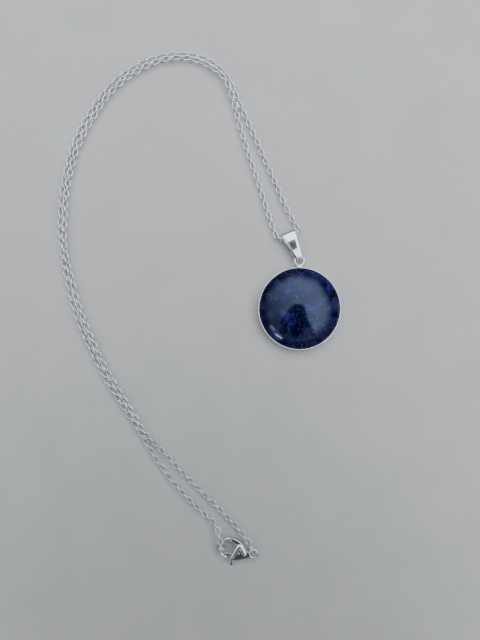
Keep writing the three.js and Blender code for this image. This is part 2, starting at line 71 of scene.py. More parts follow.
# ---- the chain's route, in millimetres --------------------------------------------------------
# Each body of the folded chain has an outer and an inner strand, listed from the bail to the clasp.
# Where one strand rides on the other, its middle is higher than FLAT.
FLAT = 0.95
STRETCHES = {
    "front": {
        "outer": [
            (-1.6, 27.5, FLAT), (-3.9, 31.8, FLAT), (-7.7, 40.6, FLAT), (-12.4, 51.2, FLAT),
            (-16.4, 60.0, FLAT), (-18.5, 64.5, FLAT), (-20.0, 68.0, FLAT),
        ],
        "inner": [
            (-7.9, 25.3, FLAT), (-8.8, 27.9, FLAT), (-10.4, 32.5, FLAT), (-13.9, 43.3, FLAT),
            (-15.7, 48.4, FLAT), (-18.0, 55.8, FLAT), (-19.2, 60.0, 1.0), (-20.3, 64.2, 1.35),
            (-21.25, 67.6, 1.75),
        ],
    },
    "mid_1": {
        "outer": [
            (-21.3, 71.2, FLAT), (-23.0, 73.9, FLAT), (-25.0, 76.2, FLAT), (-27.6, 78.1, FLAT),
            (-30.4, 79.5, FLAT), (-33.6, 80.3, FLAT), (-36.8, 80.6, FLAT), (-40.0, 80.5, FLAT),
            (-43.1, 80.1, FLAT), (-46.1, 79.2, FLAT), (-49.1, 78.0, FLAT), (-53.6, 75.5, FLAT),
        ],
        "inner": [
            (-22.35, 70.75, 2.05), (-23.7, 72.9, 1.9), (-25.8, 74.95, 1.55), (-28.4, 76.8, 1.4),
            (-31.0, 78.0, 1.4), (-33.9, 78.9, 1.5), (-36.8, 79.2, 1.5), (-39.9, 79.1, 1.5),
            (-42.9, 78.65, 1.45), (-45.7, 77.8, 1.4), (-48.6, 76.4, 1.4), (-53.0, 73.95, 1.35),
        ],
    },
    "mid_2": {
        "outer": [
            (-57.4, 72.6, FLAT), (-59.7, 70.4, FLAT), (-61.9, 68.0, FLAT), (-63.8, 65.4, FLAT),
            (-65.7, 62.8, FLAT), (-67.4, 60.0, FLAT), (-69.0, 57.2, FLAT), (-70.4, 54.3, FLAT),
            (-71.5, 51.4, FLAT), (-72.1, 49.3, FLAT),
        ],
        "inner": [
            (-56.8, 70.95, 1.3), (-59.2, 68.7, 1.3), (-61.2, 66.2, 1.3), (-63.0, 63.5, 1.3),
            (-65.3, 59.9, 1.3), (-67.8, 55.3, 1.3), (-69.4, 52.1, 1.35), (-70.55, 49.0, 1.4),
        ],
    },
    "mid_3": {
        "outer": [
            (-73.0, 46.3, FLAT), (-74.2, 41.0, FLAT), (-75.0, 35.0, FLAT), (-75.4, 29.0, FLAT),
            (-75.4, 25.5, FLAT), (-75.2, 22.6, FLAT), (-74.85, 19.6, FLAT), (-74.5, 16.4, FLAT),
            (-74.05, 13.4, FLAT), (-73.5, 10.9, FLAT),
        ],
        "inner": [
            (-71.45, 46.0, 1.4), (-72.7, 40.6, 1.4), (-73.5, 34.6, 1.4), (-73.9, 28.8, 1.45),
            (-73.95, 25.4, 1.55), (-73.9, 22.6, 1.8), (-73.7, 19.6, 2.05), (-73.25, 16.6, 1.9),
            (-72.7, 13.8, 1.7), (-72.1, 11.1, 1.55),
        ],
    },
    "mid_4": {
        "outer": [
            (-72.7, 7.0, FLAT), (-71.9, 3.6, FLAT), (-71.0, 0.2, FLAT), (-69.95, -3.1, FLAT),
            (-68.7, -6.3, FLAT), (-65.9, -12.5, FLAT), (-63.0, -18.4, FLAT), (-59.8, -24.2, FLAT),
            (-58.0, -27.0, FLAT), (-56.3, -29.6, FLAT),
        ],
        "inner": [
            (-71.2, 7.4, 1.45), (-70.4, 4.1, 1.35), (-69.35, 0.9, 1.3), (-68.3, -2.3, 1.3),
            (-67.05, -5.5, 1.3), (-64.35, -11.7, 1.3), (-61.5, -17.6, 1.3), (-58.35, -23.4, 1.3),
            (-56.65, -26.2, 1.3), (-54.95, -28.8, 1.35),
        ],
    },
    "rear": {
        "outer": [
            (-54.5, -32.3, FLAT), (-52.7, -35.1, FLAT), (-50.7, -38.1, FLAT), (-49.3, -40.3, FLAT),
            (-46.4, -45.4, FLAT), (-42.6, -51.0, FLAT), (-38.5, -56.2, FLAT), (-33.8, -61.2, FLAT),
            (-30.3, -64.3, FLAT), (-28.1, -66.3, FLAT), (-26.6, -68.0, 1.05), (-25.85, -69.3, 1.25),
            (-25.3, -70.8, 1.9), (-24.8, -72.4, 2.7),
        ],
        "inner": [
            (-53.15, -31.7, 1.45), (-51.4, -34.5, 1.65), (-49.7, -37.2, 1.95), (-48.2, -39.4, 1.8),
            (-46.4, -41.3, 1.4), (-44.2, -43.7, 1.05), (-39.8, -48.6, FLAT), (-34.0, -54.5, FLAT),
            (-28.8, -59.6, FLAT), (-24.2, -64.2, FLAT), (-21.9, -66.5, FLAT), (-19.8, -68.75, 1.05),
            (-18.35, -70.35, 1.35), (-17.0, -71.85, 1.8),
        ],
    },
}
# through the bail, from the inner strand's first point to the outer strand's
BIGHT = [
    (-7.9, 25.3, FLAT), (-7.5, 23.95, 1.0), (-7.0, 22.7, 1.3), (-6.2, 21.95, 1.6),
    (-5.2, 21.99, 1.7), (-3.29, 22.84, 1.7), (-1.38, 23.69, 1.7), (-0.6, 24.15, 1.6),
    (-0.2, 24.85, 1.35), (-0.55, 25.8, 1.05), (-1.6, 27.5, FLAT),
]


# ---- making pieces ----------------------------------------------------------------------------
def finish_piece(name, bm, body, material, nodes=()):
    """Turns a bmesh in millimetres into a piece that rides on a body and stands for CAD nodes."""
    bmesh.ops.scale(bm, vec=(MM, MM, MM), verts=bm.verts)
    bmesh.ops.recalc_face_normals(bm, faces=bm.faces)
    for face in bm.faces:
        face.smooth = True
    mesh = bpy.data.meshes.new(name)
    bm.to_mesh(mesh)
    bm.free()
    mesh.materials.append(material)
    piece = bpy.data.objects.new(name, mesh)
    bpy.context.collection.objects.link(piece)
    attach(piece, body)
    if nodes:
        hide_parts(*nodes)
    return piece


def round_edges(piece, width, angle):
    """A Bevel modifier on edges sharper than angle in degrees, width in millimetres."""
    bevel = piece.modifiers.new("rounded edges", "BEVEL")
    bevel.width = width * MM
    bevel.segments = ROUNDING_STEPS
    bevel.limit_method = "ANGLE"
    bevel.angle_limit = math.radians(angle)
    bevel.harden_normals = True


def box_mm(node):
    low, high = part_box(node)
    return low / MM, high / MM


def middle_mm(node):
    low, high = box_mm(node)
    return (low + high) / 2


def edges_of(verts):
    """The edges that meet at any of verts, each once and always in the same order."""
    return list(dict.fromkeys(edge for vert in verts for edge in vert.link_edges))


def faces_of(verts):
    """The faces that meet at any of verts, each once and always in the same order."""
    return list(dict.fromkeys(face for vert in verts for face in vert.link_faces))


def spun(bm, profile, segments):
    """A turned shape from (radius, height) points round the Z axis."""
    verts = [bm.verts.new((r, 0, z)) for r, z in profile]
    edges = [bm.edges.new(pair) for pair in zip(verts, verts[1:])]
    bmesh.ops.spin(
        bm, geom=verts + edges, cent=(0, 0, 0), axis=(0, 0, 1), angle=2 * math.pi,
        steps=segments, use_merge=True, use_duplicate=False,
    )
    bmesh.ops.remove_doubles(bm, verts=bm.verts, dist=0.0005)


def wire_ring(bm, radius, wire, place, around=48, sides=14, turn=2 * math.pi):
    """A round wire bent into a ring in the XY plane, then put in place. An open ring gets capped ends."""
    closed = turn > 2 * math.pi - 0.001
    before = set(bm.verts)
    section = bmesh.ops.create_circle(
        bm, cap_ends=not closed, segments=sides, radius=wire / 2,
        matrix=Matrix.Translation((radius, 0, 0)) @ Matrix.Rotation(math.pi / 2, 4, "X"),
    )["verts"]
    bmesh.ops.spin(
        bm, geom=[*section, *edges_of(section), *faces_of(section)],
        cent=(0, 0, 0), axis=(0, 0, 1), angle=turn, steps=around,
        use_merge=closed, use_duplicate=False,
    )
    added = [v for v in bm.verts if v not in before]
    bmesh.ops.transform(bm, matrix=place, verts=added)
    return added


def arc(centre, radius, start, end, steps):
    """Points on an arc, angles in degrees."""
    angles = [math.radians(start + (end - start) * i / steps) for i in range(steps + 1)]
    return [(centre[0] + radius * math.cos(a), centre[1] + radius * math.sin(a)) for a in angles]


def sweep(bm, points, radii, sides=14, flatten=1.0, roll=0.0):
    """A bar that follows points, with a radius at each. It may be flattened and rolled to its left."""
    points = [Vector(p) for p in points]
    ring = None
    for i, (point, radius) in enumerate(zip(points, radii)):
        ahead = (points[min(i + 1, len(points) - 1)] - points[max(i - 1, 0)]).normalized()
        side = ahead.cross(Vector((0, 0, 1))).normalized()
        up = side.cross(ahead)
        axes = Matrix((side, up, ahead)).transposed().to_4x4()
        section = Matrix.Rotation(roll, 4, "Z") @ Matrix.Diagonal((radius, radius * flatten, radius, 1))
        place = Matrix.Translation(point) @ axes @ section
        if ring is None:
            ring = bmesh.ops.create_circle(bm, cap_ends=True, segments=sides, radius=1.0)["verts"]
            bmesh.ops.transform(bm, matrix=place, verts=ring)
            edges = list(faces_of(ring)[0].edges)
        else:
            made = bmesh.ops.extrude_edge_only(bm, edges=edges)["geom"]
            ring_new = [g for g in made if isinstance(g, bmesh.types.BMVert)]
            edges = [g for g in made if isinstance(g, bmesh.types.BMEdge)
                     and all(v in ring_new for v in g.verts)]
            bmesh.ops.transform(bm, matrix=place @ last_place.inverted(), verts=ring_new)
        last_place = place
    bmesh.ops.edgeloop_fill(bm, edges=edges)


def outline_plate(bm, outline, low, high, edge=0.0):
    """An outline raised from low to high, with its top and bottom edges rounded."""
    before = set(bm.verts)
    face = bm.faces.new([bm.verts.new((x, y, low)) for x, y in outline])
    made = bmesh.ops.extrude_face_region(bm, geom=[face])["geom"]
    top = [g for g in made if isinstance(g, bmesh.types.BMVert)]
    bmesh.ops.translate(bm, vec=(0, 0, high - low), verts=top)
    added = [v for v in bm.verts if v not in before]
    bmesh.ops.recalc_face_normals(bm, faces=faces_of(added))
    if edge > 0:
        flat_edges = [e for e in edges_of(added) if abs(e.verts[0].co.z - e.verts[1].co.z) < 1e-4]
        bmesh.ops.bevel(
            bm, geom=flat_edges, offset=edge, offset_type="OFFSET", segments=ROUNDING_STEPS,
            profile=0.5, affect="EDGES", material=-1, clamp_overlap=True,
        )


def euler_zyx(x, y, z):
    """A turn about X first, then Y, then Z."""
    return Matrix.Rotation(z, 4, "Z") @ Matrix.Rotation(y, 4, "Y") @ Matrix.Rotation(x, 4, "X")


# ---- shared surface effects -------------------------------------------------------------------
def wire_up(tree, pairs):
    for start, end in pairs:
        tree.links.new(start, end)


def add_node(tree, kind, **values):
    node = tree.nodes.new(kind)
    for key, value in values.items():
        if hasattr(node, key):
            setattr(node, key, value)
        else:
            node.inputs[key].default_value = value
    return node


def handled_metal_group():
    """Soft smudges and fine scratches: how dull the metal is, how high it stands, how light it is."""
    tree = bpy.data.node_groups.new("handled metal", "ShaderNodeTree")
    sockets = tree.interface
    sockets.new_socket("Dullness", in_out="INPUT", socket_type="NodeSocketFloat")
    sockets.new_socket("Spread", in_out="INPUT", socket_type="NodeSocketFloat")
    sockets.new_socket("Scratches per metre", in_out="INPUT", socket_type="NodeSocketFloat")
    sockets.new_socket("Roughness", in_out="OUTPUT", socket_type="NodeSocketFloat")
    sockets.new_socket("Height", in_out="OUTPUT", socket_type="NodeSocketFloat")
    sockets.new_socket("Tone", in_out="OUTPUT", socket_type="NodeSocketFloat")
    start = add_node(tree, "NodeGroupInput")
    end = add_node(tree, "NodeGroupOutput")
    place = add_node(tree, "ShaderNodeTexCoord")
    smudge = add_node(tree, "ShaderNodeTexNoise", Scale=420.0, Detail=4.0, Roughness=0.6)
    stretch = add_node(tree, "ShaderNodeMapping")
    stretch.inputs["Scale"].default_value = (1.0, 0.03, 1.0)
    stretch.inputs["Rotation"].default_value = (0.0, 0.0, 0.45)
    scratch = add_node(tree, "ShaderNodeTexNoise", Detail=3.0, Roughness=0.7)
    fine = add_node(tree, "ShaderNodeMapRange")
    fine.inputs["From Min"].default_value = 0.52
    fine.inputs["From Max"].default_value = 0.72
    centred = add_node(tree, "ShaderNodeMath", operation="SUBTRACT")
    centred.inputs[1].default_value = 0.5
    spread = add_node(tree, "ShaderNodeMath", operation="MULTIPLY")
    dull = add_node(tree, "ShaderNodeMath", operation="ADD")
    scratched = add_node(tree, "ShaderNodeMath", operation="MULTIPLY_ADD")
    scratched.inputs[1].default_value = 0.035
    tone = add_node(tree, "ShaderNodeMapRange")
    tone.inputs["To Min"].default_value = 0.88
    tone.inputs["To Max"].default_value = 1.06
    wire_up(tree, [
        (place.outputs["Object"], smudge.inputs["Vector"]),
        (place.outputs["Object"], stretch.inputs["Vector"]),
        (stretch.outputs["Vector"], scratch.inputs["Vector"]),
        (start.outputs["Scratches per metre"], scratch.inputs["Scale"]),
        (scratch.outputs["Fac"], fine.inputs["Value"]),
        (smudge.outputs["Fac"], centred.inputs[0]),
        (centred.outputs[0], spread.inputs[0]),
        (start.outputs["Spread"], spread.inputs[1]),
        (spread.outputs[0], dull.inputs[0]),
        (start.outputs["Dullness"], dull.inputs[1]),
        (fine.outputs["Result"], scratched.inputs[0]),
        (dull.outputs[0], scratched.inputs[2]),
        (scratched.outputs[0], end.inputs["Roughness"]),
        (fine.outputs["Result"], end.inputs["Height"]),
        (smudge.outputs["Fac"], tone.inputs["Value"]),
        (tone.outputs["Result"], end.inputs["Tone"]),
    ])
    return tree


handled_metal = handled_metal_group()


def blank_material(name):
    material = bpy.data.materials.new(name)
    material.use_nodes = True
    return material, material.node_tree, material.node_tree.nodes["Principled BSDF"]


def steel(name, colour, dullness, spread, scratches=2600.0, depth=0.00002):
    material, tree, surface = blank_material(name)
    surface.inputs["Metallic"].default_value = 1.0
    wear = tree.nodes.new("ShaderNodeGroup")
    wear.node_tree = handled_metal
    wear.inputs["Dullness"].default_value = dullness
    wear.inputs["Spread"].default_value = spread
    wear.inputs["Scratches per metre"].default_value = scratches
    tinted = add_node(tree, "ShaderNodeMix", data_type="RGBA", blend_type="MULTIPLY")
    tinted.inputs["Factor"].default_value = 1.0
    tinted.inputs["A"].default_value = (*colour, 1.0)
    bump = add_node(tree, "ShaderNodeBump", Strength=0.06, Distance=depth)
    bump.invert = True
    wire_up(tree, [
        (wear.outputs["Tone"], tinted.inputs["B"]),
        (tinted.outputs["Result"], surface.inputs["Base Color"]),
        (wear.outputs["Roughness"], surface.inputs["Roughness"]),
        (wear.outputs["Height"], bump.inputs["Height"]),
        (bump.outputs["Normal"], surface.inputs["Normal"]),
    ])
    return material


def colour_ramp(tree, stops):
    ramp = tree.nodes.new("ShaderNodeValToRGB")
    while len(ramp.color_ramp.elements) < len(stops):
        ramp.color_ramp.elements.new(0.5)
    for element, (position, colour) in zip(ramp.color_ramp.elements, stops):
        element.position = position
        element.color = (*colour, 1.0)
    return ramp


def blue_stone():
    """Polished navy stone: mottled grains, violet-grey clouds, pale flecks."""
    material, tree, surface = blank_material("mottled blue stone")
    place = add_node(tree, "ShaderNodeTexCoord")
    mottle = add_node(tree, "ShaderNodeTexNoise", Scale=380.0, Detail=6.0, Roughness=0.62, Distortion=0.3)
    grit = add_node(tree, "ShaderNodeTexNoise", Scale=2300.0, Detail=3.0, Roughness=0.6)
    gritty = add_node(tree, "ShaderNodeMath", operation="MULTIPLY_ADD")
    gritty.inputs[1].default_value = 0.34
    ground = colour_ramp(tree, [
        (0.48, (0.0004, 0.0004, 0.0050)), (0.62, (0.0009, 0.0009, 0.0160)),
        (0.72, (0.0045, 0.0042, 0.0460)), (0.84, (0.0230, 0.0220, 0.1300)),
    ])
    cloud = add_node(tree, "ShaderNodeTexNoise", Scale=170.0, Detail=5.0, Roughness=0.6)
    cloud_mask = colour_ramp(tree, [(0.50, (0.0, 0.0, 0.0)), (0.66, (0.62, 0.62, 0.62))])
    clouded = add_node(tree, "ShaderNodeMix", data_type="RGBA")
    clouded.inputs["B"].default_value = (0.030, 0.024, 0.062, 1.0)
    grains = add_node(tree, "ShaderNodeTexNoise", Scale=1050.0, Detail=3.0, Roughness=0.6, Distortion=0.25)
    grain_mask = colour_ramp(tree, [(0.57, (0.0, 0.0, 0.0)), (0.68, (0.9, 0.9, 0.9))])
    grain_pick = add_node(tree, "ShaderNodeTexNoise", Scale=330.0, Detail=2.0)
    grain_gate = colour_ramp(tree, [(0.42, (0.12, 0.12, 0.12)), (0.62, (1.0, 1.0, 1.0))])
    flecks = add_node(tree, "ShaderNodeMix", data_type="RGBA", blend_type="MULTIPLY")
    flecks.inputs["Factor"].default_value = 1.0
    flecked = add_node(tree, "ShaderNodeMix", data_type="RGBA")
    flecked.inputs["B"].default_value = (0.044, 0.048, 0.155, 1.0)
    dull = add_node(tree, "ShaderNodeMapRange")
    dull.inputs["To Min"].default_value = 0.10
    dull.inputs["To Max"].default_value = 0.21
    wire_up(tree, [
        (place.outputs["Object"], mottle.inputs["Vector"]),
        (place.outputs["Object"], grit.inputs["Vector"]),
        (place.outputs["Object"], cloud.inputs["Vector"]),
        (place.outputs["Object"], grains.inputs["Vector"]),
        (place.outputs["Object"], grain_pick.inputs["Vector"]),
        (grit.outputs["Fac"], gritty.inputs[0]),
        (mottle.outputs["Fac"], gritty.inputs[2]),
        (gritty.outputs[0], ground.inputs["Fac"]),
        (cloud.outputs["Fac"], cloud_mask.inputs["Fac"]),
        (cloud_mask.outputs["Color"], clouded.inputs["Factor"]),
        (ground.outputs["Color"], clouded.inputs["A"]),
        (grains.outputs["Fac"], grain_mask.inputs["Fac"]),
        (grain_pick.outputs["Fac"], grain_gate.inputs["Fac"]),
        (grain_mask.outputs["Color"], flecks.inputs["A"]),
        (grain_gate.outputs["Color"], flecks.inputs["B"]),
        (flecks.outputs["Result"], flecked.inputs["Factor"]),
        (clouded.outputs["Result"], flecked.inputs["A"]),
        (flecked.outputs["Result"], surface.inputs["Base Color"]),
        (grit.outputs["Fac"], dull.inputs["Value"]),
        (dull.outputs["Result"], surface.inputs["Roughness"]),
    ])
    surface.inputs["IOR"].default_value = 1.41
    surface.inputs["Specular Tint"].default_value = (0.42, 0.60, 1.0, 1.0)
    surface.inputs["Coat Weight"].default_value = 0.26
    surface.inputs["Coat Roughness"].default_value = 0.03
    return material


def cured_glue():
    material, tree, surface = blank_material("cured glue")
    place = add_node(tree, "ShaderNodeTexCoord")
    streak = add_node(tree, "ShaderNodeTexNoise", Scale=300.0, Detail=3.0)
    tint = colour_ramp(tree, [(0.35, (0.62, 0.58, 0.46)), (0.7, (0.78, 0.75, 0.66))])
    wire_up(tree, [
        (place.outputs["Object"], streak.inputs["Vector"]),
        (streak.outputs["Fac"], tint.inputs["Fac"]),
        (tint.outputs["Color"], surface.inputs["Base Color"]),
    ])
    surface.inputs["Roughness"].default_value = 0.45
    return material


polished = steel("polished steel", (0.74, 0.75, 0.77), dullness=0.15, spread=0.12)
turned = steel("turned tray steel", (0.68, 0.68, 0.69), dullness=0.22, spread=0.14, scratches=3400.0)
folded_sheet = steel("folded sheet steel", (0.76, 0.78, 0.81), dullness=0.13, spread=0.12)
link_wire = steel("link wire steel", (0.78, 0.79, 0.81), dullness=0.18, spread=0.14, scratches=5200.0)
cast_steel = steel("cast clasp steel", (0.74, 0.75, 0.78), dullness=0.13, spread=0.10)
spring_wire = steel("spring wire steel", (0.40, 0.41, 0.43), dullness=0.34, spread=0.2)
stone_blue = blue_stone()
glue = cured_glue()


# ---- chain ------------------------------------------------------------------------------------
LINK_LENGTH = 2.5
LINK_WIDTH = 1.9
LINK_WIRE = 0.43
LINK_PITCH = 1.65
LINK_SHIFT = 0.06           # how far a link may lie off the chain's middle
LINK_YAW = 4                # degrees
ENDS_STRAIGHT = 6           # links over which the twist dies out towards the end rings


def link_shape(around=14, sides=5):
    """One oval link, long way along X, flat in the XY plane."""
    bm = bmesh.new()
    radius = (LINK_WIDTH - LINK_WIRE) / 2
    verts = wire_ring(bm, radius, LINK_WIRE, Matrix.Identity(4), around, sides)
    half = (LINK_LENGTH - LINK_WIDTH) / 2
    right = [v for v in verts if v.co.x > 0]
    left = [v for v in verts if v.co.x <= 0]
    bmesh.ops.translate(bm, vec=(half, 0, 0), verts=right)
    bmesh.ops.translate(bm, vec=(-half, 0, 0), verts=left)
    return bm


def curve_through(points, steps):
    """A smooth line through points, as a list of vectors with steps to each stretch between two."""
    points = [Vector(p) for p in points]
    points = [2 * points[0] - points[1], *points, 2 * points[-1] - points[-2]]
    line = []
    for a, b, c, d in zip(points, points[1:], points[2:], points[3:]):
        before, here, after = (math.sqrt((q - p).length) for p, q in ((a, b), (b, c), (c, d)))
        leave = ((b - a) / before - (c - a) / (before + here) + (c - b) / here) * here
        arrive = ((c - b) / here - (d - b) / (here + after) + (d - c) / after) * here
        for i in range(steps):
            t = i / steps
            line.append(
                b * (2 * t**3 - 3 * t**2 + 1) + leave * (t**3 - 2 * t**2 + t)
                + c * (3 * t**2 - 2 * t**3) + arrive * (t**3 - t**2)
            )
    line.append(points[-2])
    return line


class Route:
    """The whole chain's line from the end ring's link to the jump ring's, and whose stretch each part is."""

    STEPS = 16

    def __init__(self, start, end):
        points = [tuple(start)]
        self.owners = []
        for name, sides in reversed(STRETCHES.items()):
            for point in reversed(sides["outer"]):
                self.owners.append((name, "outer"))
                points.append(point)
        for point in reversed(BIGHT[1:-1]):
            self.owners.append(("front", "outer"))
            points.append(point)
        self.owners.append(("front", "inner"))
        points.append(BIGHT[0])
        for name, sides in STRETCHES.items():
            for point in sides["inner"]:
                if point != BIGHT[0]:
                    self.owners.append((name, "inner"))
                    points.append(point)
        self.owners.append(("rear", "inner"))
        points.append(tuple(end))
        self.line = curve_through(points, self.STEPS)
        self.reach = [0.0]
        for p, q in zip(self.line, self.line[1:]):
            self.reach.append(self.reach[-1] + (q - p).length)
        self.length = self.reach[-1]

    def at(self, distance):
        """The point at a distance along the line, and the index of the sample before it."""
        low, high = 0, len(self.reach) - 1
        while high - low > 1:
            half = (low + high) // 2
            if self.reach[half] <= distance:
                low = half
            else:
                high = half
        share = (distance - self.reach[low]) / (self.reach[high] - self.reach[low])
        return self.line[low].lerp(self.line[high], share), low

    def owner(self, distance):
        name, side = self.owners[self.at(distance)[1] // self.STEPS]
        return name if name == "front" else f"{name}_{side}"


def lay_links():
    """Every link on its own, a quarter turn from the last, gathered into one piece for each stretch."""
    route = Route(middle_mm("end_link_hook_side"), middle_mm("end_link_clasp_side"))
    count = round(route.length / LINK_PITCH)
    pitch = route.length / count
    shape = bpy.data.meshes.new("link")
    pattern = link_shape()
    pattern.to_mesh(shape)
    pattern.free()
    chance = random.Random(7)
    meshes = {}
    middles = {}
    for i in range(1, count):
        name = route.owner(i * pitch)
        bm = meshes.setdefault(name, bmesh.new())
        back = route.at(i * pitch - pitch / 2)[0]
        front = route.at(i * pitch + pitch / 2)[0]
        middle = (back + front) / 2
        ahead = (front - back).normalized()
        side = Vector((0, 0, 1)).cross(ahead).normalized()
        axes = Matrix((ahead, side, ahead.cross(side))).transposed().to_4x4()
        twist = 0.17 * math.sin(i * 0.23) + 0.14 * math.sin(i * 0.071 + 1.3) + chance.uniform(-0.08, 0.08)
        fade = min(1.0, (i - 1) / ENDS_STRAIGHT, (count - 1 - i) / ENDS_STRAIGHT)
        roll = Matrix.Rotation(math.pi / 2 * ((i + 1) % 2) + twist * fade, 4, "X")
        yaw = Matrix.Rotation(math.radians(chance.uniform(-LINK_YAW, LINK_YAW)), 4, "Z")
        shift = Matrix.Translation(middle + side * chance.uniform(-LINK_SHIFT, LINK_SHIFT))
        bm.from_mesh(shape)
        bm.verts.ensure_lookup_table()
        added = bm.verts[-len(shape.vertices):]
        bmesh.ops.transform(bm, matrix=shift @ axes @ roll @ yaw, verts=added)
        middles.setdefault(name, []).append((i * pitch, middle))
    bpy.data.meshes.remove(shape)
    for name, bm in meshes.items():
        body = name.removesuffix("_outer").removesuffix("_inner")
        nodes = [f"chain_{name}"]
        if name == "front":
            nodes = ["chain_front_outer", "chain_bight", "chain_front_inner"]
        piece = finish_piece(f"links_{name}", bm, f"chain_{body}", link_wire, nodes)
        line = [middle * MM for _, middle in middles[name]]
        ends = middles[name][0][0] - pitch / 2, middles[name][-1][0] + pitch / 2
        line = [route.at(ends[0])[0] * MM, *line, route.at(ends[1])[0] * MM]


lay_links()


def end_link(name, body, place):
    bm = link_shape(around=30, sides=10)
    bmesh.ops.transform(bm, matrix=place, verts=bm.verts)
    finish_piece(f"{name}_wire", bm, body, link_wire, [name])


HOOK_LINK_PITCH = math.radians(20)
CLASP_LINK_TURN = math.radians(133)
end_link(
    "end_link_hook_side", "chain_rear",
    Matrix.Translation(middle_mm("end_link_hook_side"))
    @ euler_zyx(math.pi / 2, HOOK_LINK_PITCH, math.pi / 2),
)
end_link(
    "end_link_clasp_side", "chain_rear",
    Matrix.Translation(middle_mm("end_link_clasp_side")) @ euler_zyx(0, 0, CLASP_LINK_TURN),
)


# ---- rings ------------------------------------------------------------------------------------
RING_WIRE = 0.5
SAW_CUT = math.radians(2.5)
SAW_CUT_AT = math.radians(-60)


def make_ring(name, spin, turn=2 * math.pi, start=0.0):
    """A wire ring that stands on edge: spin is its plane's direction on the table."""
    low, high = box_mm(name)
    bm = bmesh.new()
    wire_ring(
        bm, (high.z - low.z - RING_WIRE) / 2, RING_WIRE,
        Matrix.Translation((low + high) / 2) @ euler_zyx(math.pi / 2, 0, spin)
        @ Matrix.Rotation(start, 4, "Z"),
        turn=turn,
    )
    finish_piece(f"{name}_wire", bm, name, polished, [name])


def make_rings():
    """The end ring is closed, and the jump ring has a saw cut on its lower side."""
    axis = joints["jump_ring_spin"]["axis"]
    make_ring("end_ring", 0.0)
    make_ring("jump_ring", math.atan2(axis[0], -axis[1]), 2 * math.pi - SAW_CUT, SAW_CUT_AT)


make_rings()


# ---- pendant ----------------------------------------------------------------------------------
TRAY_FLOOR = 0.6
TRAY_WALL = 0.4
TRAY_BACK_ROUND = 0.45
TRAY_BACK_FLAT = 1.6        # from the tray's edge to where its back is quite flat
GROOVE_DEPTH = 0.05
GROOVE_BELOW_RIM = 0.7
STONE_EDGE = 1.9            # height of the stone's straight side
STONE_CHAMFER = 0.3
STONE_GIRDLE = 0.25
LOOP_WIRE = 0.7
FOOT_WIDTH = 1.5
FOOT_THICK = 0.62
FOOT_EDGE = 0.16
TURNED_STEPS = 160


def make_tray():
    low, high = box_mm("bezel_tray")
    radius = high.x
    height = high.z
    inner = radius - TRAY_WALL
    rim_radius = TRAY_WALL / 2
    middle = height - GROOVE_BELOW_RIM
    back_edge = arc((radius - TRAY_BACK_ROUND, TRAY_BACK_ROUND), TRAY_BACK_ROUND, -90, 0, 8)
    rim = arc((radius - rim_radius, height - rim_radius), rim_radius, 0, 180, 12)
    groove = [
        (radius, middle - GROOVE_DEPTH), (radius - GROOVE_DEPTH, middle), (radius, middle + GROOVE_DEPTH),
    ]
    profile = [
        (0, 0), (radius - TRAY_BACK_FLAT, 0), *back_edge, *groove, *rim, (inner, TRAY_FLOOR),
        (0, TRAY_FLOOR),
    ]
    bm = bmesh.new()
    spun(bm, profile, TURNED_STEPS)
    finish_piece("tray", bm, "pendant", turned, ["bezel_tray"])


def make_stone():
    low, high = box_mm("cabochon")
    radius = high.x
    edge = low.z + STONE_EDGE
    rise = high.z - edge
    dome = (radius**2 + rise**2) / (2 * rise)
    sweep_angle = math.degrees(math.asin(radius / dome))
    top = arc((0, high.z - dome), dome, 90 - sweep_angle, 90, 30)
    bottom = [
        (0, low.z), (radius - STONE_CHAMFER, low.z), (radius, low.z + STONE_CHAMFER),
        (radius, edge - STONE_GIRDLE),
    ]
    bm = bmesh.new()
    spun(bm, [*bottom, *top], TURNED_STEPS)
    finish_piece("domed_stone", bm, "pendant", stone_blue, ["cabochon"])


def make_loop():
    low, high = box_mm("pendant_loop")
    radius = (high.x - low.x - LOOP_WIRE) / 2
    centre = Vector(joints["pendant_sway"]["pos_m"]) / MM
    bm = bmesh.new()
    wire_ring(bm, radius, LOOP_WIRE, Matrix.Translation(centre), around=56, sides=16)
    foot_top = centre.y - radius
    foot = Matrix.Translation((centre.x, (foot_top + low.y) / 2, centre.z))
    foot = foot @ Matrix.Diagonal((FOOT_WIDTH, foot_top - low.y, FOOT_THICK, 1))
    made = bmesh.ops.create_cube(bm, size=1.0, matrix=foot)["verts"]
    bmesh.ops.bevel(
        bm, geom=edges_of(made), offset=FOOT_EDGE, offset_type="OFFSET",
        segments=ROUNDING_STEPS, profile=0.5,
        affect="EDGES", material=-1,
    )
    finish_piece("loop_wire", bm, "pendant", polished, ["pendant_loop"])


make_tray()
make_stone()
make_loop()
for slot in frame["nodes"]["adhesive_layer"].material_slots:
    slot.material = glue


# ---- bail -------------------------------------------------------------------------------------
BAIL_LENGTH = 8.45
BAIL_SHEET = 0.45
BAIL_FLAT = 1.6
BAIL_TIP = 1.205
BAIL_TIP_WIDTH = 2.3
BAIL_TOP_WIDTH = 4.6
BAIL_SLOPE = 0.053          # the front leaf falls this much for each millimetre towards its tip
DISH_SLOPE = 0.24
DISH_WALL = 0.1
DISH_TILT = 0.045           # the dished panel's left side lies deeper than its right by twice this
DISH_TILTED = 0.15          # depth at which that difference is full
DISH_STEPS = 16
ROLL_STEPS = 30
BACK_LINE = 3.5             # from the roll to the last cross line on the back leaf
FACET = 0.6
FACET_DROP = 0.18
FACET_ANGLE = 8.5
SHEET_EDGE = 0.06
TIP_CORNER = 0.14
PRONG_WIDTHS = [0.5, 0.54, 0.6, 0.62, 0.56, 0.36]
PRONG_FLATNESS = 0.48
PRONG_GAP = 0.12


